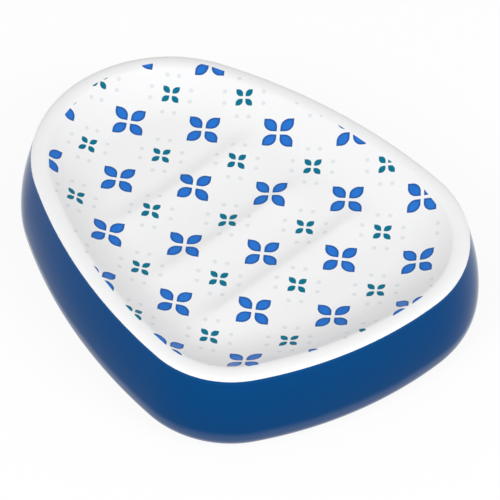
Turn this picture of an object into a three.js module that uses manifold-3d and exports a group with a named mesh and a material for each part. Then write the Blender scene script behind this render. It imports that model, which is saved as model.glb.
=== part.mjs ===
// A glazed ceramic soap dish in the outline of a pebble. A white tray with a dished basin and three
// soft drip ribs is luted onto a hollow blue base shell, which stands on four anti-slip pads.
// Millimetres, +Z up. +X points to the wide end, and the pads stand on z = 0.

import * as THREE from 'three';
import { mergeVertices } from 'three/addons/utils/BufferGeometryUtils.js';
import Module from 'manifold-3d';

// Rim outline from above: three corner arcs, joined by three nearly straight side arcs
const NARROW_CORNER = { x: -24.2, y: -4.1, radius: 38.6 };
const FRONT_CORNER = { x: 28.7, y: -23.9, radius: 26.5 };
const BACK_CORNER = { x: 30.2, y: 16.9, radius: 32.6 };
const FRONT_SIDE_RADIUS = 156;
const END_SIDE_RADIUS = 109;
const BACK_SIDE_RADIUS = 161;

// Heights, measured up from the surface that the dish stands on
const PAD_THICKNESS = 1;
const SEAM_HEIGHT = 26.3;
const RIM_RISE = 0.9;

// Base shell: a hollow casting that flares downwards and rounds under at the foot
const WALL_FLARE = 3.7;
const FOOT_ROUND = 5;
const SHELL_WALL = 3.5;
const SHELL_FLOOR = 4;
const INNER_ROUND = 4;
const RECESS_INSET = 15;
const RECESS_SLOPE = 3;
const RECESS_DEPTH = 0.8;
const VENT_DIAMETER = 5;

// Tray: a rounded rim, a wall that sweeps down to a gently dished floor, and soft ribs across it
const RIM_HALF_WIDTH = 2.6;
const RIM_TURN = THREE.MathUtils.degToRad(154.5);
const BASIN_DEPTH = 7;
const BASIN_EDGE_INSET = 20.5;
const FLOOR_SAG = 1.3;
const FLOOR_EDGE_SLOPE = THREE.MathUtils.degToRad(4.5);
const SWEEP_ALONG_FLOOR = 5.7;
const SWEEP_BELOW_RIM = 5.7;
const TRAY_WALL = 4;
const LIP_DEPTH = 4.5;
const LIP_CLEARANCE = 0.3;

// Drip ribs across the basin, narrow end first: the middle of each crest, seen from the dish's centre,
// and its length. A rib is steep on the side of the narrow end, gentle on the other, and fades out at
// both ends
const RIBS = [
  { x: -18.2, y: -3.3, length: 65 },
  { x: 3.7, y: -3.8, length: 66 },
  { x: 23.2, y: -0.8, length: 74 },
];
const RIB_TURN = THREE.MathUtils.degToRad(3.5);
const RIB_STEEP_WIDTH = 6;
const RIB_GENTLE_WIDTH = 13;
const RIB_HEIGHT = 0.9;
const RIB_CREST_SHARE = 0.2;
const RIB_FADE = 14;
const RIB_BED = 0.3;
const RIB_ROOT = 1.5;

// Anti-slip pads, each set in from the rim outline on a spoke of a corner arc
const PAD_DIAMETER = 9;
const PAD_EDGE_ROUND = 0.4;
const PAD_INSET = 8.5;
const PAD_SPOKES = {
  foot_pad_narrow_front: { corner: NARROW_CORNER, degrees: 222 },
  foot_pad_narrow_back: { corner: NARROW_CORNER, degrees: 138 },
  foot_pad_wide_front: { corner: FRONT_CORNER, degrees: 318 },
  foot_pad_wide_back: { corner: BACK_CORNER, degrees: 42 },
};

// Facets
const CORNER_STEPS = 22;
const SIDE_STEPS = 8;
const RIM_STEPS = 9;
const SWEEP_STEPS = 9;
const FLOOR_STEPS = 7;
const RIB_STEPS_ALONG = 24;
const RIB_STEPS_ACROSS = 10;
const FLARE_STEPS = 6;
const ROUND_STEPS = 6;
const TURN_SEGMENTS = 24;
const PAD_ROUND_STEPS = 2;
const WELD_DISTANCE = 0.01;

const wasm = await Module();
wasm.setup();

// The circle of a side arc, touching two corner circles from inside: its centre and end angles
function sideArc(from, to, radius) {
  const span = new THREE.Vector2(to.x - from.x, to.y - from.y);
  const length = span.length();
  const along = span.clone().divideScalar(length);
  const reach = radius - from.radius;
  const distance = (length ** 2 + reach ** 2 - (radius - to.radius) ** 2) / (2 * length);
  const depth = Math.sqrt(reach ** 2 - distance ** 2);
  const x = from.x + along.x * distance - along.y * depth;
  const y = from.y + along.y * distance + along.x * depth;
  const start = Math.atan2(from.y - y, from.x - x);
  const end = Math.atan2(to.y - y, to.x - x);
  return { x, y, radius, start, end, steps: SIDE_STEPS };
}

// The six arcs of the rim outline, counterclockwise, each ending where the next one starts
function outlineArcs() {
  const corners = [NARROW_CORNER, FRONT_CORNER, BACK_CORNER];
  const radii = [FRONT_SIDE_RADIUS, END_SIDE_RADIUS, BACK_SIDE_RADIUS];
  const sides = corners.map((corner, k) => sideArc(corner, corners[(k + 1) % 3], radii[k]));
  return sides.flatMap((side, k) => {
    const start = side.end;
    const end = sides[(k + 1) % 3].start;
    return [side, { ...corners[(k + 1) % 3], start, end, steps: CORNER_STEPS }];
  });
}

// The spots of the rim outline, each with the direction that points straight out of the dish
function outlineSpots() {
  const fullTurn = 2 * Math.PI;
  return outlineArcs().flatMap(({ x, y, radius, start, end, steps }) => {
    const sweep = THREE.MathUtils.euclideanModulo(end - start, fullTurn);
    return Array.from({ length: steps }, (_, k) => {
      const angle = start + (sweep * k) / steps;
      const out = new THREE.Vector2(Math.cos(angle), Math.sin(angle));
      return { out, spot: out.clone().multiplyScalar(radius).add(new THREE.Vector2(x, y)) };
    });
  });
}

const SPOTS = outlineSpots();
const BOX = new THREE.Box2().setFromPoints(SPOTS.map(({ spot }) => spot));
const CENTRE = BOX.getCenter(new THREE.Vector2());

// The rim outline moved outwards by an offset (inwards if negative) and lifted to a height
function ring(offset, height) {
  return SPOTS.map(({ spot, out }) =>
    new THREE.Vector3(spot.x + out.x * offset, spot.y + out.y * offset, height));
}

// A ring drawn in towards the dish's centre by a share of its size
function shrunkRing(offset, share, height) {
  return ring(offset, height).map((point) => {
    const centre = new THREE.Vector3(CENTRE.x, CENTRE.y, height);
    return centre.lerp(point, share);
  });
}

// A closed skin over a stack of rings, from a point inside the first ring to one inside the last
function loft(firstPole, rings, lastPole) {
  const count = rings[0].length;
  const positions = [firstPole, ...rings.flat(), lastPole].flatMap((point) => point.toArray());
  const last = 1 + rings.length * count;
  const at = (row, k) => 1 + row * count + (k % count);
  const faces = [];
  for (let k = 0; k < count; k += 1) {
    faces.push(0, at(0, k), at(0, k + 1));
    for (let row = 0; row + 1 < rings.length; row += 1) {
      faces.push(at(row, k), at(row + 1, k), at(row + 1, k + 1));
      faces.push(at(row, k), at(row + 1, k + 1), at(row, k + 1));
    }
    faces.push(last, at(rings.length - 1, k + 1), at(rings.length - 1, k));
  }
  const geometry = new THREE.BufferGeometry();
  geometry.setAttribute('position', new THREE.Float32BufferAttribute(positions, 3));
  geometry.setIndex(faces);
  return geometry;
}

// Offset and height of evenly spaced points on a section curve, as rings of the loft
function ringsAlong(curve, steps) {
  return curve.getPoints(steps).map(({ x, y }) => ring(x, y));
}

function toSolid(geometry) {
  const bare = geometry.clone();
  bare.deleteAttribute('normal');
  bare.deleteAttribute('uv');
  const merged = mergeVertices(bare);
  const vertProperties = new Float32Array(merged.attributes.position.array);
  const triVerts = new Uint32Array(merged.index.array);
  return new wasm.Manifold(new wasm.Mesh({ numProp: 3, vertProperties, triVerts }));
}

// A joined or cut solid as a geometry, with corners that nearly meet welded into one
function toGeometry(solid) {
  const { vertProperties, triVerts } = solid.getMesh();
  const geometry = new THREE.BufferGeometry();
  geometry.setAttribute('position', new THREE.BufferAttribute(vertProperties, 3));
  geometry.setIndex(new THREE.BufferAttribute(triVerts, 1));
  const welded = mergeVertices(geometry, WELD_DISTANCE);
  const corners = welded.index.array;
  const faces = [];
  for (let k = 0; k < corners.length; k += 3) {
    const face = corners.slice(k, k + 3);
    if (new Set(face).size === 3) faces.push(...face);
  }
  welded.setIndex(faces);
  return welded;
}

// How far out on the basin floor a place lies: 0 at the centre, 1 at the floor's edge
function shareOfFloor(x, y) {
  const edge = ring(-BASIN_EDGE_INSET, 0);
  return Math.max(...SPOTS.map(({ out }, k) => {
    const reach = (edge[k].x - CENTRE.x) * out.x + (edge[k].y - CENTRE.y) * out.y;
    return ((x - CENTRE.x) * out.x + (y - CENTRE.y) * out.y) / reach;
  }));
}

// The basin floor sags gently towards its centre
function floorHeight(share) {
  return SEAM_HEIGHT - BASIN_DEPTH + FLOOR_SAG * share ** 2;
}

// Height of the bare basin at a place: on its floor, or past the floor's edge on its wall
function basinHeight({ x, y }) {
  const share = shareOfFloor(x, y);
  if (share <= 1) return floorHeight(share);
  const offset = Math.max(...SPOTS.map(({ spot, out }) => (x - spot.x) * out.x + (y - spot.y) * out.y));
  const wall = basinWallCurve().getPoints(SWEEP_STEPS);
  const above = wall.findIndex((point, k) => k > 0 && point.x >= offset);
  const [low, high] = wall.slice(above - 1, above + 1);
  return THREE.MathUtils.mapLinear(offset, low.x, high.x, low.y, high.y);
}

// Height of a rib across its width, from 1 on its rounded crest down to its hollow flanks
function ribSwell(across) {
  return ((1 - Math.hypot(across, RIB_CREST_SHARE)) / (1 - RIB_CREST_SHARE)) ** 2;
}

// One rib, faded along its length and rooted in the basin that it follows
function ribGeometry({ x: ribX, y: ribY, length }) {
  const spotAt = (across, along, lift) => {
    const flank = across < 0 ? RIB_STEEP_WIDTH : RIB_GENTLE_WIDTH;
    const place = new THREE.Vector2(across * flank, (along * length) / 2);
    place.rotateAround(new THREE.Vector2(), RIB_TURN).add(new THREE.Vector2(ribX, ribY)).add(CENTRE);
    return new THREE.Vector3(place.x, place.y, basinHeight(place) + lift);
  };
  const sectionAt = (along) => {
    const fromEnd = ((1 - Math.abs(along)) * length) / 2;
    const swell = (RIB_HEIGHT + RIB_BED) * THREE.MathUtils.smoothstep(fromEnd, 0, RIB_FADE);
    const crest = Array.from({ length: RIB_STEPS_ACROSS + 1 }, (_, k) => {
      const across = 1 - (2 * k) / RIB_STEPS_ACROSS;
      return spotAt(across, along, swell * ribSwell(across) - RIB_BED);
    });
    return [spotAt(-1, along, -RIB_ROOT), spotAt(1, along, -RIB_ROOT), ...crest];
  };
  const stations = Array.from({ length: RIB_STEPS_ALONG + 1 }, (_, k) => (2 * k) / RIB_STEPS_ALONG - 1);
  const middle = -(RIB_ROOT + RIB_BED) / 2;
  return loft(spotAt(0, -1, middle), stations.map(sectionAt), spotAt(0, 1, middle));
}

// Section of the rim, from the basin side over the crest to the seam: part of an ellipse
function rimCurve() {
  return new THREE.EllipseCurve(-RIM_HALF_WIDTH, SEAM_HEIGHT, RIM_HALF_WIDTH, RIM_RISE, RIM_TURN, 0, true);
}

// Section of the basin wall, tangent to the floor below it and to the rim above it
function basinWallCurve() {
  const floorEdge = new THREE.Vector2(-BASIN_EDGE_INSET, floorHeight(1));
  const rim = rimCurve();
  const top = rim.getPoint(0);
  const fall = rim.getTangent(0).multiplyScalar(-SWEEP_BELOW_RIM);
  const rise = new THREE.Vector2(SWEEP_ALONG_FLOOR, 0).rotateAround(new THREE.Vector2(), FLOOR_EDGE_SLOPE);
  return new THREE.CubicBezierCurve(floorEdge, floorEdge.clone().add(rise), top.clone().add(fall), top);
}

// The basin's top, out over the rim to the seam, then the seam face, the lip and the hidden underside
function trayGeometry() {
  const lipOffset = -SHELL_WALL - LIP_CLEARANCE;
  const floorShares = Array.from({ length: FLOOR_STEPS - 1 }, (_, k) => (k + 1) / FLOOR_STEPS);
  const lipEnd = new THREE.Vector2(lipOffset, SEAM_HEIGHT - LIP_DEPTH);
  const underEdge = new THREE.Vector2(-BASIN_EDGE_INSET, floorHeight(1) - TRAY_WALL);
  const underTurn = new THREE.Vector2(lipOffset, underEdge.y);
  const underCurve = new THREE.QuadraticBezierCurve(lipEnd, underTurn, underEdge);
  const rings = [
    ...floorShares.map((share) => shrunkRing(-BASIN_EDGE_INSET, share, floorHeight(share))),
    ...ringsAlong(basinWallCurve(), SWEEP_STEPS).slice(0, -1),
    ...ringsAlong(rimCurve(), RIM_STEPS),
    ring(lipOffset, SEAM_HEIGHT),
    ...ringsAlong(underCurve, ROUND_STEPS),
  ];
  const topPole = new THREE.Vector3(CENTRE.x, CENTRE.y, floorHeight(0));
  const underPole = new THREE.Vector3(CENTRE.x, CENTRE.y, floorHeight(0) - TRAY_WALL);
  const bowl = toSolid(loft(topPole, rings, underPole));
  return toGeometry(RIBS.reduce((solid, rib) => solid.add(toSolid(ribGeometry(rib))), bowl));
}

// Outside of the shell below the seam: steepest flare at the top, then the round under the foot
function shellOutside() {
  const roundHeight = PAD_THICKNESS + FOOT_ROUND;
  const flareRings = Array.from({ length: FLARE_STEPS }, (_, k) => {
    const fall = k / FLARE_STEPS;
    const offset = WALL_FLARE * Math.sin((fall * Math.PI) / 2);
    return ring(offset, THREE.MathUtils.lerp(SEAM_HEIGHT, roundHeight, fall));
  });
  const roundCentre = WALL_FLARE - FOOT_ROUND;
  const footRound = new THREE.EllipseCurve(
    roundCentre, roundHeight, FOOT_ROUND, FOOT_ROUND, 0, -Math.PI / 2, true);
  return [...flareRings, ...ringsAlong(footRound, ROUND_STEPS)];
}

// Hollow of the shell, from its floor out to the wall and up to the seam
function shellInside() {
  const floor = PAD_THICKNESS + SHELL_FLOOR;
  const wall = WALL_FLARE - SHELL_WALL;
  const roundCentre = new THREE.Vector2(wall - INNER_ROUND, floor + INNER_ROUND);
  const round = new THREE.EllipseCurve(
    roundCentre.x, roundCentre.y, INNER_ROUND, INNER_ROUND, -Math.PI / 2, 0);
  const flareRings = Array.from({ length: FLARE_STEPS }, (_, k) => {
    const rise = (k + 1) / FLARE_STEPS;
    const offset = WALL_FLARE * Math.cos((rise * Math.PI) / 2) - SHELL_WALL;
    return ring(offset, THREE.MathUtils.lerp(roundCentre.y, SEAM_HEIGHT, rise));
  });
  return [...ringsAlong(round, ROUND_STEPS), ...flareRings];
}

// The hollow body of the dish, with a shallow recess inside the foot and a vent for firing gases
function shellGeometry() {
  const rings = [
    ...shellInside(),
    ...shellOutside(),
    ring(-RECESS_INSET, PAD_THICKNESS),
    ring(-RECESS_INSET - RECESS_SLOPE, PAD_THICKNESS + RECESS_DEPTH),
  ];
  const insidePole = new THREE.Vector3(CENTRE.x, CENTRE.y, PAD_THICKNESS + SHELL_FLOOR);
  const underPole = new THREE.Vector3(CENTRE.x, CENTRE.y, PAD_THICKNESS + RECESS_DEPTH);
  const ventLength = 2 * (PAD_THICKNESS + SHELL_FLOOR);
  const ventRadius = VENT_DIAMETER / 2;
  const vent = new THREE.CylinderGeometry(ventRadius, ventRadius, ventLength, TURN_SEGMENTS);
  vent.rotateX(Math.PI / 2);
  vent.translate(CENTRE.x, CENTRE.y, ventLength / 2);
  return toGeometry(toSolid(loft(insidePole, rings, underPole)).subtract(toSolid(vent)));
}

// A round pad with a soft lower edge and a flat top that sticks to the foot
function padGeometry() {
  const radius = PAD_DIAMETER / 2;
  const profile = new THREE.Path();
  profile.moveTo(0, 0);
  profile.lineTo(radius - PAD_EDGE_ROUND, 0);
  profile.absarc(radius - PAD_EDGE_ROUND, PAD_EDGE_ROUND, PAD_EDGE_ROUND, -Math.PI / 2, 0, false);
  profile.lineTo(radius, PAD_THICKNESS);
  profile.lineTo(0, PAD_THICKNESS);
  const geometry = new THREE.LatheGeometry(profile.getPoints(PAD_ROUND_STEPS), TURN_SEGMENTS);
  geometry.rotateX(Math.PI / 2);
  return geometry;
}

function glaze(color) {
  return new THREE.MeshStandardMaterial({ color, roughness: 0.12, metalness: 0 });
}

function namedMesh(name, geometry, material) {
  const mesh = new THREE.Mesh(geometry, material);
  mesh.name = name;
  return mesh;
}

function footPads() {
  const pads = new THREE.Group();
  for (const [name, { corner, degrees }] of Object.entries(PAD_SPOKES)) {
    const angle = THREE.MathUtils.degToRad(degrees);
    const reach = corner.radius - PAD_INSET;
    const rubber = new THREE.MeshStandardMaterial({ color: 0xdadad5, roughness: 0.75, metalness: 0 });
    const pad = namedMesh(name, padGeometry(), rubber);
    pad.position.set(corner.x + reach * Math.cos(angle), corner.y + reach * Math.sin(angle), 0);
    pads.add(pad);
  }
  return pads;
}

const dish = new THREE.Group();
dish.position.set(-CENTRE.x, -CENTRE.y, 0);
dish.add(namedMesh('tray', trayGeometry(), glaze(0xf6f5f1)));
dish.add(namedMesh('base_shell', shellGeometry(), glaze(0x0c4a8c)));
dish.add(footPads());

const soapDish = new THREE.Group();
soapDish.add(dish);

export default soapDish;
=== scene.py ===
# %% [markdown]
# A glazed ceramic soap dish, shaped like a flat pebble. The white tray has a dished basin with three
# soft ribs and a printed lattice of small flowers. It sits on a hollow blue body with four pads below.
# The packed solids are loaded first: they give the frame, in metres, that every piece is built around.

import math

import bmesh
import bpy
from mathutils import Color, Matrix, Vector
from mathutils.geometry import interpolate_bezier


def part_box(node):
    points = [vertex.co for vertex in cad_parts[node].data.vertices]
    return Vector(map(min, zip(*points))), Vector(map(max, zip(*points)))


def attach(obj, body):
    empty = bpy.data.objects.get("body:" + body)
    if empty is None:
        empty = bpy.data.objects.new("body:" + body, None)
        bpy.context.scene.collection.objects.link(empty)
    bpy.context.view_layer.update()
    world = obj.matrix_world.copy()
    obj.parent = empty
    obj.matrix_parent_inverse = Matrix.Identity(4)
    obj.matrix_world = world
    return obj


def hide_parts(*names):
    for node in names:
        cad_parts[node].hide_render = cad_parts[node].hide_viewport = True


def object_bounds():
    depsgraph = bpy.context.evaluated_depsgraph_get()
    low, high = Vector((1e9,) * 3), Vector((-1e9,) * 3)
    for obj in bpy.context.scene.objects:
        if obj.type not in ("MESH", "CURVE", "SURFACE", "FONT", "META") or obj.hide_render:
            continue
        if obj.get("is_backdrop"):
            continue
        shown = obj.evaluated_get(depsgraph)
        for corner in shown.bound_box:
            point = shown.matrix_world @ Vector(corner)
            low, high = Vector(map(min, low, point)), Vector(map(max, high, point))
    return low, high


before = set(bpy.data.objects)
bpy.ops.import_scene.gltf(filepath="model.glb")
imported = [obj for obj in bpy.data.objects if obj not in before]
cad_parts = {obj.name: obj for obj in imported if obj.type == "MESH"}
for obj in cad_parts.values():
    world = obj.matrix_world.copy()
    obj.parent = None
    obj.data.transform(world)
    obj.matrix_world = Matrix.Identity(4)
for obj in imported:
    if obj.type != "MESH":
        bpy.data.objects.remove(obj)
cad_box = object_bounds()
MM = 0.001
print("solids loaded:", sorted(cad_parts))

# %% [markdown]
# Every piece of the dish follows one outline, the edge where the white rim meets the blue wall. It
# could be drawn freehand as a curve, but a potter's template is made of arcs: three round corners and
# three long, nearly straight sides. A corner's circle touches the larger circle of a side from inside,
# so the distance between their centres is the difference of their radii. The centre of a side lies
# where the distances to its two corners meet.

# %% Long sides between the corners
NARROW_CORNER = (-24.2 * MM, -4.1 * MM, 38.6 * MM)
FRONT_CORNER = (28.7 * MM, -23.9 * MM, 26.5 * MM)
BACK_CORNER = (30.2 * MM, 16.9 * MM, 32.6 * MM)
SIDE_RADII = (156 * MM, 109 * MM, 161 * MM)


def side_arc(start, end, radius):
    """Centre and end angles of a long side between two corners, each with its place and radius."""
    first, second = Vector(start[:2]), Vector(end[:2])
    along = second - first
    span = along.length
    along.normalize()
    reach = radius - start[2]
    distance = (span**2 + reach**2 - (radius - end[2]) ** 2) / (2 * span)
    depth = math.sqrt(reach**2 - distance**2)
    centre = first + along * distance + Vector((-along.y, along.x)) * depth
    angles = [math.atan2(spot.y - centre.y, spot.x - centre.x) for spot in (first, second)]
    return centre, angles


corners = (NARROW_CORNER, FRONT_CORNER, BACK_CORNER)
next_corners = corners[1:] + corners[:1]
sides = [side_arc(*ends) for ends in zip(corners, next_corners, SIDE_RADII)]
for centre, _ in sides:
    print("centre of a long side, mm:", [round(part / MM) for part in centre])

# %% [markdown]
# The outline is a list of spots along these arcs. Each spot keeps the direction that points straight
# outwards too, so that the outline can grow or shrink by an even distance. The solids have coarser
# facets than this model, so the outline is drawn in by a hair, to stay inside them.

# %% Outline of the rim
SIDE_STEPS = 36
CORNER_STEPS = 60
FACET_ROOM = 0.05 * MM


def arc_spots(centre, radius, start, end, steps):
    """Spots along an arc, without its last one, each with its outward direction."""
    sweep = (end - start) % (2 * math.pi)
    angles = [start + sweep * step / steps for step in range(steps)]
    outward = [Vector((math.cos(angle), math.sin(angle))) for angle in angles]
    return [(centre + out * radius, out) for out in outward]


def rim_outline():
    spots = []
    for index, (centre, (start, end)) in enumerate(sides):
        spots += arc_spots(centre, SIDE_RADII[index], start, end, SIDE_STEPS)
        x, y, radius = next_corners[index]
        next_start = sides[(index + 1) % len(sides)][1][0]
        spots += arc_spots(Vector((x, y)), radius, end, next_start, CORNER_STEPS)
    return spots


outline = rim_outline()
middle = Vector(
    (max(spot[axis] for spot, _ in outline) + min(spot[axis] for spot, _ in outline)) / 2
    for axis in range(2)
)
outline = [(spot - middle - out * FACET_ROOM, out) for spot, out in outline]
print("outline spots:", len(outline))

# %% [markdown]
# A wall that follows the outline is made as a potter's profile rib would cut it: one closed loop of
# edges is extruded again and again, and each new loop is moved to the next point of the section. The
# loop remembers which spot each of its vertices belongs to, so no list of faces has to be worked out.

# %% Sweep a section round the outline
def row(offset, height):
    """The outline moved outwards by an offset, at a height."""
    return [Vector((*(spot + out * offset), height)) for spot, out in outline]


def start_loop(bm, places):
    spot_layer = bm.verts.layers.int.new("spot")
    made = bmesh.ops.create_circle(bm, segments=len(outline), radius=1)
    for index, (vert, place) in enumerate(zip(made["verts"], places)):
        vert[spot_layer] = index
        vert.co = place
    return list(bm.edges)


def next_loop(bm, edges, places):
    """Extrude a loop of edges and move the new loop to its places."""
    spot_layer = bm.verts.layers.int["spot"]
    made = bmesh.ops.extrude_edge_only(bm, edges=edges)["geom"]
    verts = [part for part in made if isinstance(part, bmesh.types.BMVert)]
    for vert in verts:
        vert.co = places[vert[spot_layer]]
    return [part for part in made if isinstance(part, bmesh.types.BMEdge) and part.is_boundary]


trial = bmesh.new()
next_loop(trial, start_loop(trial, row(0, 0)), row(0, 1 * MM))
print("faces that one step of a sweep makes:", len(trial.faces))
trial.free()

# %% [markdown]
# A sweep over a closed floor ends at a pole, where the last loop is drawn together into one vertex. A
# finished bmesh then becomes an object. Its normals are turned outwards, and it is shaded smooth except
# where two faces meet at a steep angle. In the frame it takes the place of its solids.

# %% Close and finish a piece
SHARP_ANGLE = math.radians(40)


def loop_verts(edges):
    return list({vert for edge in edges for vert in edge.verts})


def close_loop(bm, edges, place):
    """Draw a loop together into one vertex, the pole."""
    verts = loop_verts(edges)
    bmesh.ops.pointmerge(bm, verts=verts, merge_co=place)
    return next(vert for vert in verts if vert.is_valid)


def finish_piece(bm, name, nodes):
    """Turn a bmesh into a smooth-shaded piece that stands for its solids."""
    bmesh.ops.recalc_face_normals(bm, faces=bm.faces)
    mesh = bpy.data.meshes.new(name)
    bm.to_mesh(mesh)
    bm.free()
    mesh.shade_smooth()
    mesh.set_sharp_from_angle(angle=SHARP_ANGLE)
    piece = bpy.data.objects.new(name, mesh)
    bpy.context.scene.collection.objects.link(piece)
    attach(piece, "root")
    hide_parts(*nodes)
    print(name, "faces:", len(mesh.polygons))
    return piece


print("edges stay sharp above, degrees:", round(math.degrees(SHARP_ANGLE)))

# %% [markdown]
# The tray's section runs from the middle of the basin outwards. The floor sags a little, the wall
# sweeps up in one curve, and the rim is part of an ellipse. A Bezier curve keeps the wall tangent to
# both of its neighbours, which matters on a gloss glaze, where a kink would show as a broken highlight.

# %% Section of the tray
SEAM_HEIGHT = 26.3 * MM
RIM_RISE = 0.89 * MM
RIM_HALF_WIDTH = 2.6 * MM
RIM_TURN = math.radians(154.5)
BASIN_DEPTH = 7 * MM
BASIN_EDGE_INSET = 20.5 * MM
FLOOR_SAG = 1.3 * MM
FLOOR_EDGE_SLOPE = math.radians(4.5)
SWEEP_ALONG_FLOOR = 5.7 * MM
SWEEP_BELOW_RIM = 5.7 * MM
WALL_ROWS = 28
RIM_ROWS = 24


def floor_height(share):
    """Height of the basin's floor, at a share of the way from its middle to its edge."""
    return SEAM_HEIGHT - BASIN_DEPTH + FLOOR_SAG * share**2


def rim_point(turn):
    return Vector((RIM_HALF_WIDTH * (math.cos(turn) - 1), SEAM_HEIGHT + RIM_RISE * math.sin(turn)))


def basin_wall():
    """Offsets and heights from the floor's edge up to the rim."""
    rim_fall = Vector((-RIM_HALF_WIDTH * math.sin(RIM_TURN), RIM_RISE * math.cos(RIM_TURN)))
    foot = Vector((-BASIN_EDGE_INSET, floor_height(1)))
    head = rim_point(RIM_TURN)
    rise = Vector((math.cos(FLOOR_EDGE_SLOPE), math.sin(FLOOR_EDGE_SLOPE)))
    foot_handle = foot + rise * SWEEP_ALONG_FLOOR
    head_handle = head + rim_fall.normalized() * SWEEP_BELOW_RIM
    return interpolate_bezier(foot, foot_handle, head_handle, head, WALL_ROWS + 1)


rim_section = [rim_point(RIM_TURN * (1 - step / RIM_ROWS)) for step in range(1, RIM_ROWS + 1)]
tray_section = basin_wall() + rim_section
print("tray section points:", len(tray_section))

# %% [markdown]
# The tray's hidden side hangs into the hollow body as a lip, with a little room round it, and then
# curves in below the basin. Nobody sees it on the finished dish, but it closes the tray's skin, which
# a piece needs so that it can be weighed, printed or cut open. One corner point pulls both handles of
# its curve, so the curve leaves the lip straight down and reaches the bottom level.

# %% Hidden side of the tray
SHELL_WALL = 3.5 * MM
LIP_CLEARANCE = 0.3 * MM
LIP_DEPTH = 4.5 * MM
TRAY_WALL = 4 * MM
UNDER_ROWS = 10
CORNER_PULL = 2 / 3


def tray_underside():
    """Offsets and heights of the seam face, the lip and the bottom."""
    lip = -SHELL_WALL - LIP_CLEARANCE
    lip_end = Vector((lip, SEAM_HEIGHT - LIP_DEPTH))
    edge = Vector((-BASIN_EDGE_INSET, floor_height(1) - TRAY_WALL))
    corner = Vector((lip, edge.y))
    handles = [end.lerp(corner, CORNER_PULL) for end in (lip_end, edge)]
    return [Vector((lip, SEAM_HEIGHT))] + interpolate_bezier(lip_end, *handles, edge, UNDER_ROWS)


under_section = tray_underside()
print("hidden section points:", len(under_section))

# %% [markdown]
# The three drip ribs lift the soap so that it can dry. They are cast with the tray, so they are soft
# swells in the basin and not bars set on it: a rounded crest between a steep and a gentle flank, faded
# out at both ends. A formula lifts the basin's own vertices, so there is no join to hide.

# %% Drip ribs
RIBS = (
    (Vector((-18.2, -3.3)) * MM, 65 * MM),
    (Vector((3.7, -3.8)) * MM, 66 * MM),
    (Vector((23.2, -0.8)) * MM, 74 * MM),
)
RIB_TURN = math.radians(3.5)
RIB_STEEP_WIDTH = 6 * MM
RIB_GENTLE_WIDTH = 13 * MM
RIB_HEIGHT = 0.9 * MM
RIB_CREST_SHARE = 0.2
RIB_FADE = 14 * MM


def smooth_share(value):
    """From 0 to 1 with a soft start and a soft end."""
    value = min(max(value, 0), 1)
    return value * value * (3 - 2 * value)


def rib_lift(place):
    """How far the ribs raise the basin at a place."""
    straighten = Matrix.Rotation(-RIB_TURN, 2)
    lift = 0
    for rib_middle, length in RIBS:
        from_middle = straighten @ (place - rib_middle)
        across = from_middle.x / (RIB_STEEP_WIDTH if from_middle.x < 0 else RIB_GENTLE_WIDTH)
        from_flank = max(1 - math.hypot(across, RIB_CREST_SHARE), 0) / (1 - RIB_CREST_SHARE)
        fade = smooth_share((length / 2 - abs(from_middle.y)) / RIB_FADE)
        lift += RIB_HEIGHT * fade * from_flank**2
    return lift


print("rib crests, mm:", [round(rib_lift(rib_middle) / MM, 2) for rib_middle, _ in RIBS])

# %% [markdown]
# The print is a transfer that is laid on the basin and smoothed up its wall. Each vertex therefore
# keeps its place on the flat sheet: on the floor that is simply x and y, and on the wall it goes on
# outwards by the length of the section, so that the flowers aren't stretched. A third number says how
# far inside the cut edge of the sheet the vertex lies. The sheet is trimmed by hand, so its edge wanders
# by a millimetre or two: the list below pairs an outward direction, in degrees, with the reach up the
# wall, in millimetres, and the directions between two pairs are blended. At the tight curve of the
# narrow end a flat sheet can't lie smooth, so there it is gathered, which draws the flowers inwards.

# %% Where the print lies
SHEET_REACH = (
    (-180, 17.9), (-170, 16.7), (-125, 16.9), (-97, 18.1), (-40, 17.4), (0, 18.1),
    (25, 16.9), (55, 14.8), (82, 16.0), (128, 19.5), (180, 17.9),
)
GATHER = 0.12
GATHER_DIRECTION = Vector((-0.92, -0.39))
GATHER_FOCUS = 24


def sheet_reach(out):
    """How far up the wall the sheet was trimmed, in an outward direction."""
    direction = math.degrees(math.atan2(out.y, out.x))
    for (start, first), (end, second) in zip(SHEET_REACH, SHEET_REACH[1:]):
        if direction <= end:
            return (first + (second - first) * smooth_share((direction - start) / (end - start))) * MM


def sheet_length(out, climbed):
    """How much of the sheet lies on a length of wall, with more of it where it is gathered."""
    return climbed * (1 + GATHER * max(out.dot(GATHER_DIRECTION), 0) ** GATHER_FOCUS)


def set_print(bm, edges, sheet_places, climbed):
    """Write the place on the sheet to each vertex of a loop, at a length up the wall."""
    spot_layer = bm.verts.layers.int["spot"]
    print_layer = bm.verts.layers.float_vector["print_place"]
    for vert in loop_verts(edges):
        spot = vert[spot_layer]
        inside = sheet_reach(outline[spot][1]) - climbed
        vert[print_layer] = Vector((*sheet_places[spot], inside))


reaches = [sheet_reach(out) / MM for _, out in outline]
print("sheet reaches up the wall, mm:", round(min(reaches), 1), "to", round(max(reaches), 1))

# %% [markdown]
# The tray is now swept in three goes. The floor grows in rings from a small one round the middle. The
# wall and the rim follow the tray's section, and the hidden side follows its own. At both ends a pole
# closes the skin. The pole in the basin lies under the print, so it gets its place on the sheet too.

# %% Tray
FLOOR_ROWS = 60
floor_plan = [spot - out * BASIN_EDGE_INSET for spot, out in outline]


def sweep_floor(bm):
    """The rings of the basin's floor: the innermost and the outermost loop."""
    first = edges = None
    for step in range(1, FLOOR_ROWS):
        share = step / FLOOR_ROWS
        plan = [place * share for place in floor_plan]
        places = [Vector((*place, floor_height(share) + rib_lift(place))) for place in plan]
        edges = next_loop(bm, edges, places) if edges else start_loop(bm, places)
        first = first or edges
        set_print(bm, edges, plan, 0)
    return first, edges


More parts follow.
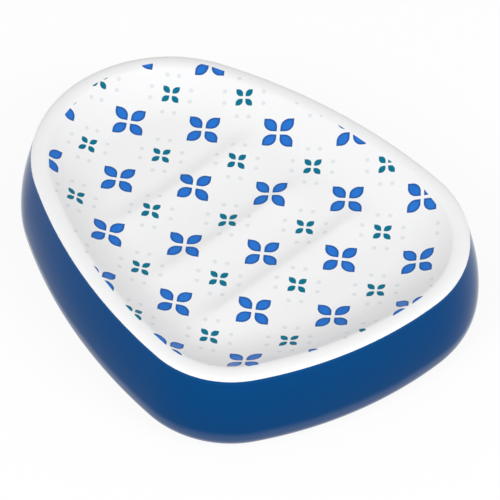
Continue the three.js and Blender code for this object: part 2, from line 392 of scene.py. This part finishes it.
def sweep_wall(bm, edges):
    """The wall and the rim, up to the seam, and then the hidden side."""
    climbed = 0
    last = tray_section[0]
    for point in tray_section:
        climbed += (point - last).length
        last = point
        places = [place + Vector((0, 0, rib_lift(place.xy))) for place in row(*point)]
        edges = next_loop(bm, edges, places)
        lengths = [out * sheet_length(out, climbed) for _, out in outline]
        sheet = [place + length for place, length in zip(floor_plan, lengths)]
        set_print(bm, edges, sheet, climbed)
    for point in under_section:
        edges = next_loop(bm, edges, row(*point))
        set_print(bm, edges, floor_plan, climbed)
    return edges


def make_tray():
    bm = bmesh.new()
    bm.verts.layers.float_vector.new("print_place")
    first, edges = sweep_floor(bm)
    edges = sweep_wall(bm, edges)
    pole_height = floor_height(0) + rib_lift(Vector((0, 0)))
    pole = close_loop(bm, first, Vector((0, 0, pole_height)))
    pole[bm.verts.layers.float_vector["print_place"]] = Vector((0, 0, BASIN_EDGE_INSET))
    close_loop(bm, edges, Vector((0, 0, floor_height(0) - TRAY_WALL)))
    return finish_piece(bm, "glazed_tray", ["tray"])


tray = make_tray()

# %% [markdown]
# The blue body is a slip casting: slip is poured into a plaster mould, and what doesn't stick to the
# plaster is poured out again, which leaves an even wall round a hollow. Its section goes up the hollow,
# over the seam, down the flared outside, round the foot and into a shallow recess below. The flare is a
# quarter of a sine wave, which leans out most at the seam and is upright at the rounded foot.

# %% Section of the shell
PAD_THICKNESS = 1 * MM
WALL_FLARE = 3.7 * MM
FOOT_ROUND = 5 * MM
SHELL_FLOOR = 4 * MM
INNER_ROUND = 4 * MM
RECESS_INSET = 15 * MM
RECESS_SLOPE = 3 * MM
RECESS_DEPTH = 0.8 * MM
FLARE_ROWS = 26
ROUND_ROWS = 16
RECESS_ROWS = 8
QUARTER = math.pi / 2


def round_points(centre, radius, start, end):
    turns = [start + (end - start) * step / ROUND_ROWS for step in range(ROUND_ROWS + 1)]
    return [centre + radius * Vector((math.cos(turn), math.sin(turn))) for turn in turns]


def flare_point(share, end_height, inset):
    """A point of the flared wall, at a share of the way from the seam down to a height."""
    offset = WALL_FLARE * math.sin(share * QUARTER) - inset
    return Vector((offset, SEAM_HEIGHT + (end_height - SEAM_HEIGHT) * share))


def recess_point(share):
    height = PAD_THICKNESS + RECESS_DEPTH * smooth_share(share)
    return Vector((-RECESS_INSET - RECESS_SLOPE * share, height))


def shell_section():
    """Offsets and heights from the inner floor round to the recess."""
    inner = Vector((WALL_FLARE - SHELL_WALL - INNER_ROUND, PAD_THICKNESS + SHELL_FLOOR + INNER_ROUND))
    outer = Vector((WALL_FLARE - FOOT_ROUND, PAD_THICKNESS + FOOT_ROUND))
    shares = [step / FLARE_ROWS for step in range(FLARE_ROWS)]
    points = round_points(inner, INNER_ROUND, -QUARTER, 0)
    points += [flare_point(share, inner.y, SHELL_WALL) for share in reversed(shares)]
    points += [flare_point(share, outer.y, 0) for share in shares]
    points += round_points(outer, FOOT_ROUND, 0, -QUARTER)
    return points + [recess_point(step / RECESS_ROWS) for step in range(RECESS_ROWS + 1)]


body_section = shell_section()
print("shell section points:", len(body_section))

# %% [markdown]
# A firing vent through the floor of the body lets hot air out of the hollow. A hole could be cut with a
# boolean, but the sweep can make it by itself: it starts at the vent's upper edge, runs round the whole
# wall, and comes back to the vent from below, where a bridge closes the last gap.

# %% Base shell
VENT_RADIUS = 2.5 * MM
VENT_EDGE = 0.4 * MM


def vent_row(radius, height):
    return [Vector((*(place.normalized() * radius), height)) for place in floor_plan]


def make_shell():
    bm = bmesh.new()
    floor_top = PAD_THICKNESS + SHELL_FLOOR
    floor_under = PAD_THICKNESS + RECESS_DEPTH
    first = edges = start_loop(bm, vent_row(VENT_RADIUS, floor_top - VENT_EDGE))
    edges = next_loop(bm, edges, vent_row(VENT_RADIUS + VENT_EDGE, floor_top))
    for point in body_section:
        edges = next_loop(bm, edges, row(*point))
    edges = next_loop(bm, edges, vent_row(VENT_RADIUS + VENT_EDGE, floor_under))
    edges = next_loop(bm, edges, vent_row(VENT_RADIUS, floor_under + VENT_EDGE))
    bmesh.ops.bridge_loops(bm, edges=first + edges)
    return finish_piece(bm, "glazed_shell", ["base_shell"])


shell = make_shell()

# %% [markdown]
# The pads are small discs of soft rubber, stuck to the foot so that the glaze doesn't scratch the
# washbasin. A disc is a capped circle, extruded to its thickness, with its lower edge rounded by a
# bevel. Its place and its size are read from the solid that it stands for.

# %% Foot pads
PAD_EDGE_ROUND = 0.4 * MM
PAD_EDGE_STEPS = 5
PAD_SEGMENTS = 64
PAD_NODES = sorted(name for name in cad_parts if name.startswith("foot_pad"))


def make_pad(node):
    low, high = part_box(node)
    centre = (low + high) / 2
    bm = bmesh.new()
    radius = (high.x - low.x) / 2
    place = Matrix.Translation((centre.x, centre.y, low.z))
    bmesh.ops.create_circle(bm, cap_ends=True, segments=PAD_SEGMENTS, radius=radius, matrix=place)
    rim = list(bm.edges)
    made = bmesh.ops.extrude_face_region(bm, geom=list(bm.faces))["geom"]
    lifted = [part for part in made if isinstance(part, bmesh.types.BMVert)]
    bmesh.ops.translate(bm, verts=lifted, vec=(0, 0, high.z - low.z))
    lower = [edge for edge in rim if edge.is_valid]
    bmesh.ops.bevel(bm, geom=lower, offset=PAD_EDGE_ROUND, segments=PAD_EDGE_STEPS, profile=0.5,
                    affect="EDGES", material=-1)
    return finish_piece(bm, node.replace("foot_pad", "soft_pad"), [node])


pads = [make_pad(node) for node in PAD_NODES]
print("pads:", len(pads))

# %% [markdown]
# Shader maths reads best as plain sums. The small class below wraps a node's output, and each sum on it
# adds one Math node to the material.

# %% Shader sums
class Amount:
    """A number that varies over a surface, and can be used in sums."""

    def __init__(self, recipe, socket):
        self.recipe = recipe
        self.socket = socket

    def __add__(self, other):
        return self.recipe.math("ADD", self, other)

    def __sub__(self, other):
        return self.recipe.math("SUBTRACT", self, other)

    def __rsub__(self, other):
        return self.recipe.math("SUBTRACT", other, self)

    def __mul__(self, other):
        return self.recipe.math("MULTIPLY", self, other)

    def __truediv__(self, other):
        return self.recipe.math("DIVIDE", self, other)

    def __abs__(self):
        return self.recipe.math("ABSOLUTE", self)

    def __round__(self):
        return self.recipe.math("ROUND", self)

    def root(self):
        return self.recipe.math("SQRT", self)

    def at_least(self, other):
        return self.recipe.math("MAXIMUM", self, other)

    def at_most(self, other):
        return self.recipe.math("MINIMUM", self, other)

    def clamped(self):
        return self.at_least(0).at_most(1)

    __radd__ = __add__
    __rmul__ = __mul__


print("beside plain sums:", [name for name in vars(Amount) if not name.startswith("_")])

# %% [markdown]
# A material is written like a glaze recipe. Every node comes from one method, which sets the node up
# first and then fills or links its sockets, and the other methods are short names for the nodes that
# this dish needs. A Mix node has a set of sockets for each kind of data, so its colour sockets are
# picked by their numbers.

# %% Material recipes
MIX_FIRST_COLOUR = 6
MIX_SECOND_COLOUR = 7
MIX_COLOUR_RESULT = 2


class Recipe:
    """A material in the making: its nodes, and the surface that they end in."""

    def __init__(self, name):
        self.material = bpy.data.materials.new(name)
        self.material.use_nodes = True
        self.tree = self.material.node_tree
        self.tree.nodes.clear()

    def node(self, kind, settings=None, sockets=None):
        made = self.tree.nodes.new(kind)
        for key, value in (settings or {}).items():
            setattr(made, key, value)
        for key, value in (sockets or {}).items():
            self.fill(made.inputs[key], value)
        return made

    def fill(self, socket, value):
        if isinstance(value, Amount):
            value = value.socket
        if isinstance(value, bpy.types.NodeSocket):
            self.tree.links.new(value, socket)
        else:
            socket.default_value = value

    def math(self, operation, *terms):
        made = self.node("ShaderNodeMath", {"operation": operation}, dict(enumerate(terms)))
        return Amount(self, made.outputs[0])

    def split(self, vector):
        made = self.node("ShaderNodeSeparateXYZ", sockets={"Vector": vector})
        return [Amount(self, output) for output in made.outputs]

    def noise(self, vector, scale, detail):
        sockets = {"Vector": vector, "Scale": scale, "Detail": detail}
        return Amount(self, self.node("ShaderNodeTexNoise", sockets=sockets).outputs["Fac"])

    def bump(self, height, strength, distance):
        sockets = {"Strength": strength, "Distance": distance, "Height": height}
        return self.node("ShaderNodeBump", sockets=sockets).outputs[0]

    def blend(self, amount, first, second):
        """One colour where the amount is 0, the other where it is 1."""
        sockets = {"Factor": amount, MIX_FIRST_COLOUR: first, MIX_SECOND_COLOUR: second}
        return self.node("ShaderNodeMix", {"data_type": "RGBA"}, sockets).outputs[MIX_COLOUR_RESULT]

    def object_place(self):
        return self.node("ShaderNodeTexCoord").outputs["Object"]

    def end(self, surface):
        """Send a surface shader to the output, and give the finished material."""
        output = self.node("ShaderNodeOutputMaterial")
        self.fill(output.inputs["Surface"], surface.outputs[0])
        return self.material


print("steps of a recipe:", [name for name in vars(Recipe) if not name.startswith("_")])

# %% [markdown]
# Colours are written as they look on a screen, in steps from 0 to 255. A shader counts light instead, so
# each colour goes through the screen's own curve first. A piece then wears one material.

# %% Colours and dressing
SCREEN_STEPS = 255


def paint(red, green, blue):
    """A colour as seen on a screen, as the shader wants it."""
    seen = Color((red, green, blue)) / SCREEN_STEPS
    return (*seen.from_srgb_to_scene_linear(), 1)


def dress(piece, material):
    piece.data.materials.clear()
    piece.data.materials.append(material)
    print(piece.name, "wears", material.name)


print("light of a mid grey:", round(paint(128, 128, 128)[0], 3))

# %% [markdown]
# A petal of the print is a leaf: a square with two opposite corners well rounded, so that the other two
# stay as tips. It could be an image, but a formula stays sharp at any distance. The formula gives the
# depth inside the leaf, as a share of the flowers' pitch, and ink begins where the depth is more than 0.

# %% A leaf-shaped petal
PETAL_ROUND = 0.66
INK_SOFTNESS = 0.006
HALF = 0.5


def length_of(x, y):
    return (x * x + y * y).root()


def leaf(across, along, gap, side):
    """How far inside a petal a place lies, as a share of the flowers' pitch."""
    x = across - gap
    y = along - gap
    corner = PETAL_ROUND * side
    flat = side - corner
    right = length_of((x - flat).at_least(0), (corner - y).at_least(0))
    left = length_of((corner - x).at_least(0), (y - flat).at_least(0))
    return corner - right.at_least(left)


def inked(depth):
    """1 inside a printed shape and 0 outside, with a soft edge."""
    return (depth / INK_SOFTNESS + HALF).clamped()


print("rounded share of a petal's side:", PETAL_ROUND)

# %% [markdown]
# The print is a checkerboard of large blue and small teal flowers, so a small flower stands half a pitch
# from a large one both ways. Taking the distance to the nearest flower in each direction folds the four
# petals of every flower onto one, so a single leaf draws the whole lattice. Eight pale dots stand round
# each small flower. Ink gathers at the edge of a printed shape, so the last mask marks a darker outline
# on the large petals.

# %% Printed flowers
FLOWER_PITCH = 21.5 * MM
FLOWER_AT = (15.25 * MM, -1.65 * MM, 0)
SHEET_TURN = (0, 0, math.radians(45))
LARGE_PETAL = 0.18
LARGE_GAP = 0.023
SMALL_PETAL = 0.096
SMALL_GAP = 0.017
DOT_RADIUS = 0.03
DOT_OUT = 0.267
DOT_ASIDE = 0.08
INK_EDGE = 0.036


def from_nearest(place):
    """How far off the nearest flower is, in pitches."""
    return abs(place - round(place))


def dot_depth(across, along):
    beside = length_of(across - DOT_OUT, along - DOT_ASIDE)
    above = length_of(across - DOT_ASIDE, along - DOT_OUT)
    return DOT_RADIUS - beside.at_most(above)


def flower_masks(recipe):
    """Where the large petals, the small petals, the dots and the large petals' edges are printed."""
    sheet = recipe.node("ShaderNodeAttribute", {"attribute_name": "print_place"}).outputs["Vector"]
    cut_edge = (recipe.split(sheet)[2] / (FLOWER_PITCH * INK_SOFTNESS)).clamped()
    pitch = (FLOWER_PITCH, FLOWER_PITCH, 1)
    sockets = {"Vector": sheet, "Location": FLOWER_AT, "Rotation": SHEET_TURN, "Scale": pitch}
    turned = recipe.node("ShaderNodeMapping", {"vector_type": "TEXTURE"}, sockets).outputs[0]
    places = recipe.split(turned)[:2]
    large = [from_nearest(place) for place in places]
    small = [from_nearest(place + HALF) for place in places]
    large_depth = leaf(*large, LARGE_GAP, LARGE_PETAL)
    depths = (large_depth, leaf(*small, SMALL_GAP, SMALL_PETAL), dot_depth(*small))
    masks = [inked(depth) * cut_edge for depth in depths]
    return masks + [(1 - large_depth / INK_EDGE).clamped()]


petal_sides = [round(side * FLOWER_PITCH / MM, 1) for side in (LARGE_PETAL, SMALL_PETAL)]
print("large and small petals, mm:", petal_sides)

# %% [markdown]
# The white glaze is thick and glossy. Its colour is the ware's own white, with the print laid on it
# under the gloss, so the flowers shine like the rest. A faint bump gives the slightly uneven skin of a
# poured glaze, which a mirror-smooth surface would lack.

# %% White glaze with its print
WHITE = paint(242, 242, 243)
LARGE_INK = paint(26, 106, 200)
LARGE_INK_THIN = paint(48, 124, 214)
LARGE_INK_EDGE = paint(20, 74, 142)
SMALL_INK = paint(0, 113, 140)
DOT_INK = paint(223, 228, 230)
INK_GRAIN = 260
INK_GRAIN_DETAIL = 2
SKIN_SCALE = 60
SKIN_DETAIL = 1
SKIN_BUMP = 0.04
SKIN_DEPTH = 1 * MM
WHITE_ROUGHNESS = 0.1
WHITE_SKIN_ROUGHNESS = 0.06
WHITE_SPECULAR = 0.2


def white_glaze():
    recipe = Recipe("printed_white_glaze")
    place = recipe.object_place()
    large, small, dots, large_edge = flower_masks(recipe)
    ink_grain = recipe.noise(place, INK_GRAIN, INK_GRAIN_DETAIL)
    large_ink = recipe.blend(ink_grain, LARGE_INK, LARGE_INK_THIN)
    large_ink = recipe.blend(large_edge, large_ink, LARGE_INK_EDGE)
    colour = recipe.blend(dots, WHITE, DOT_INK)
    colour = recipe.blend(small, colour, SMALL_INK)
    colour = recipe.blend(large, colour, large_ink)
    skin = recipe.noise(place, SKIN_SCALE, SKIN_DETAIL)
    return recipe.end(recipe.node("ShaderNodeBsdfPrincipled", sockets={
        "Base Color": colour,
        "Roughness": WHITE_ROUGHNESS + skin * WHITE_SKIN_ROUGHNESS,
        "Specular IOR Level": WHITE_SPECULAR,
        "Normal": recipe.bump(skin, SKIN_BUMP, SKIN_DEPTH),
    }))


dress(tray, white_glaze())

# %% [markdown]
# The blue glaze is lighter along the upper edge and darker towards the foot, in cloudy patches. At
# the foot it ends in a thick, shining roll that mirrors the table. That shine is a clear coat, which
# begins a little above the foot along a wavy line. The foot itself is wiped clean before firing, or it
# would stick to the kiln shelf, so a dry, off-white ring of bare clay shows underneath.

# %% Blue glaze
BLUE = paint(0, 67, 124)
BLUE_DEEP = paint(0, 60, 109)
BLUE_LIGHTER = paint(10, 82, 144)
BARE_CLAY = paint(226, 220, 208)
CLOUD_SCALE = 45
CLOUD_DETAIL = 3
DARKER_BY_HEIGHT = 0.8
DARKER_BY_CLOUD = 0.4
LIGHT_BAND = 1.2 * MM
LIGHT_BAND_STRENGTH = 0.6
ROLL_HEIGHT = 8.7 * MM
ROLL_WAVE = 2.4 * MM
ROLL_FADE = 2.1 * MM
ROLL_SHINE = 0.7
WIPED_HEIGHT = 0.3 * MM
WIPED_FADE = 0.05 * MM
BLUE_ROUGHNESS = 0.07
BLUE_SKIN_ROUGHNESS = 0.05
CLAY_ROUGHNESS = 0.6
BLUE_SPECULAR = 0.045


def blue_glaze():
    recipe = Recipe("pooling_blue_glaze")
    place = recipe.object_place()
    height = recipe.split(place)[2]
    below_seam = SEAM_HEIGHT - height
    cloud = recipe.noise(place, CLOUD_SCALE, CLOUD_DETAIL) - HALF
    down_share = below_seam / (SEAM_HEIGHT - PAD_THICKNESS)
    # Darker towards the foot, with cloudy patches.
    darker_low = (down_share * DARKER_BY_HEIGHT + cloud * DARKER_BY_CLOUD).clamped()
    # Lighter in a narrow band along the upper edge.
    lighter_top = (1 - below_seam / LIGHT_BAND).clamped()
    wiped_top = PAD_THICKNESS + WIPED_HEIGHT * (1 + cloud)
    wiped = ((wiped_top - height) / WIPED_FADE).clamped()
    roll_top = ROLL_HEIGHT + ROLL_WAVE * cloud
    rolled = ((roll_top - height) / ROLL_FADE).clamped() * (1 - wiped)
    colour = recipe.blend(darker_low, BLUE, BLUE_DEEP)
    colour = recipe.blend(lighter_top * LIGHT_BAND_STRENGTH, colour, BLUE_LIGHTER)
    colour = recipe.blend(wiped, colour, BARE_CLAY)
    skin = recipe.noise(place, SKIN_SCALE, SKIN_DETAIL)
    return recipe.end(recipe.node("ShaderNodeBsdfPrincipled", sockets={
        "Base Color": colour,
        "Roughness": BLUE_ROUGHNESS + skin * BLUE_SKIN_ROUGHNESS + wiped * CLAY_ROUGHNESS,
        "Specular IOR Level": BLUE_SPECULAR,
        "Coat Weight": rolled * ROLL_SHINE,
        "Normal": recipe.bump(skin, SKIN_BUMP, SKIN_DEPTH),
    }))


dress(shell, blue_glaze())

# %% [markdown]
# The pads are pale, slightly dusty rubber: matt, with a fine grain. One noise does for the dust, the
# roughness and the grain, since dust settles in the hollows of the grain.

# %% Pad rubber
RUBBER = paint(222, 222, 218)
RUBBER_DUST = paint(202, 201, 196)
GRAIN_SCALE = 900
GRAIN_DETAIL = 3
GRAIN_BUMP = 0.2
GRAIN_DEPTH = 0.1 * MM
RUBBER_ROUGHNESS = 0.65
DUST_ROUGHNESS = 0.2


def pad_rubber():
    recipe = Recipe("dusty_pad_rubber")
    dust = recipe.noise(recipe.object_place(), GRAIN_SCALE, GRAIN_DETAIL)
    return recipe.end(recipe.node("ShaderNodeBsdfPrincipled", sockets={
        "Base Color": recipe.blend(dust, RUBBER, RUBBER_DUST),
        "Roughness": RUBBER_ROUGHNESS + dust * DUST_ROUGHNESS,
        "Normal": recipe.bump(dust, GRAIN_BUMP, GRAIN_DEPTH),
    }))


rubber = pad_rubber()
for pad in pads:
    dress(pad, rubber)

# %% [markdown]
# The dish stands on a plain white table. A table that is lit to white would throw too much light back on
# the dish, so the table only glows where the camera or a reflection sees it. The rest of its brightness
# comes from the lamps, so it keeps the shadow.

# %% Table
TABLE_SIZE = 3
TABLE_GLOW = 0.9
TABLE_WHITE = (0.95, 0.95, 0.95, 1)
PURE_WHITE = (1, 1, 1, 1)
GLOW_STRENGTH = 1


def white_table():
    recipe = Recipe("white_table")
    path = recipe.node("ShaderNodeLightPath")
    rays = ("Is Camera Ray", "Is Glossy Ray", "Is Transmission Ray")
    camera, glossy, through = [Amount(recipe, path.outputs[name]) for name in rays]
    seen = (camera + glossy + through).clamped()
    matt = recipe.node("ShaderNodeBsdfDiffuse", sockets={"Color": TABLE_WHITE})
    glow = recipe.node("ShaderNodeEmission", sockets={"Color": PURE_WHITE, "Strength": GLOW_STRENGTH})
    sockets = {0: seen * TABLE_GLOW, 1: matt.outputs[0], 2: glow.outputs[0]}
    return recipe.end(recipe.node("ShaderNodeMixShader", sockets=sockets))


def make_table():
    bm = bmesh.new()
    bmesh.ops.create_grid(bm, x_segments=1, y_segments=1, size=TABLE_SIZE / 2)
    mesh = bpy.data.meshes.new("table")
    bm.to_mesh(mesh)
    bm.free()
    table = bpy.data.objects.new("table", mesh)
    bpy.context.scene.collection.objects.link(table)
    dress(table, white_table())
    table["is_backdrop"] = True


make_table()

# %% [markdown]
# Two large soft lamps stand to the left and to the right of the camera, and a pale, even world fills the
# shadows. Soft light from two sides suits a gloss glaze: it shows the ribs and the curve of the basin
# without hard spots.

# %% Light
LAMP_PLACES = {
    "left_softbox": Vector((0.1, -0.85, 0.75)),
    "right_softbox": Vector((0.85, 0.25, 0.75)),
}
LAMP_SIZE = 0.5
LAMP_WATTS = 5.9
WORLD_STRENGTH = 0.42


def make_lamp(name, place):
    """A square lamp that faces the dish."""
    lamp = bpy.data.lights.new(name, "AREA")
    lamp.size = LAMP_SIZE
    lamp.energy = LAMP_WATTS
    lamp_object = bpy.data.objects.new(name, lamp)
    lamp_object.location = place
    lamp_object.rotation_euler = (-place).to_track_quat("-Z", "Y").to_euler()
    bpy.context.scene.collection.objects.link(lamp_object)


def make_world():
    world = bpy.data.worlds.new("studio")
    world.use_nodes = True
    background = world.node_tree.nodes["Background"]
    background.inputs["Color"].default_value = PURE_WHITE
    background.inputs["Strength"].default_value = WORLD_STRENGTH
    bpy.context.scene.world = world


for name, place in LAMP_PLACES.items():
    make_lamp(name, place)
make_world()
bpy.context.scene.view_settings.view_transform = "Standard"
print("lamps:", len(LAMP_PLACES), "of", LAMP_WATTS, "watts")

# %% [markdown]
# The camera is far away with a long lens, as in a catalogue photograph. Its place comes from the printed
# lattice: since the flowers form squares on the real dish, the way they shrink tells where it stood.

# %% Camera
CAMERA_AIM = Vector((8.82 * MM, -0.67 * MM, 14.22 * MM))
CAMERA_DISTANCE = 810.5 * MM
CAMERA_AZIMUTH = math.radians(50.56)
CAMERA_ELEVATION = math.radians(49.45)
CAMERA_ROLL = math.radians(1.12)
CAMERA_LENS = 210.2
SENSOR_WIDTH = 36


def make_camera():
    level = math.cos(CAMERA_ELEVATION)
    towards = Vector((
        math.sin(CAMERA_AZIMUTH) * level,
        -math.cos(CAMERA_AZIMUTH) * level,
        math.sin(CAMERA_ELEVATION),
    ))
    data = bpy.data.cameras.new("catalogue_camera")
    data.lens = CAMERA_LENS
    data.sensor_width = SENSOR_WIDTH
    camera = bpy.data.objects.new("catalogue_camera", data)
    facing = towards.to_track_quat("Z", "Y").to_matrix().to_4x4()
    stand = Matrix.Translation(CAMERA_AIM + towards * CAMERA_DISTANCE)
    camera.matrix_world = stand @ facing @ Matrix.Rotation(CAMERA_ROLL, 4, "Z")
    bpy.context.scene.collection.objects.link(camera)
    bpy.context.scene.camera = camera
    print("camera stands at, mm:", [round(part / MM) for part in stand.translation])


make_camera()

# %% [markdown]
# Last, the size of the dressed model is printed beside the size of the solids, so that the two can be
# compared.

# %% Sizes
visual_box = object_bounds()
sizes = {
    "cad": [list(corner) for corner in cad_box],
    "visual": [list(corner) for corner in visual_box],
}
print("sizes:", sizes)
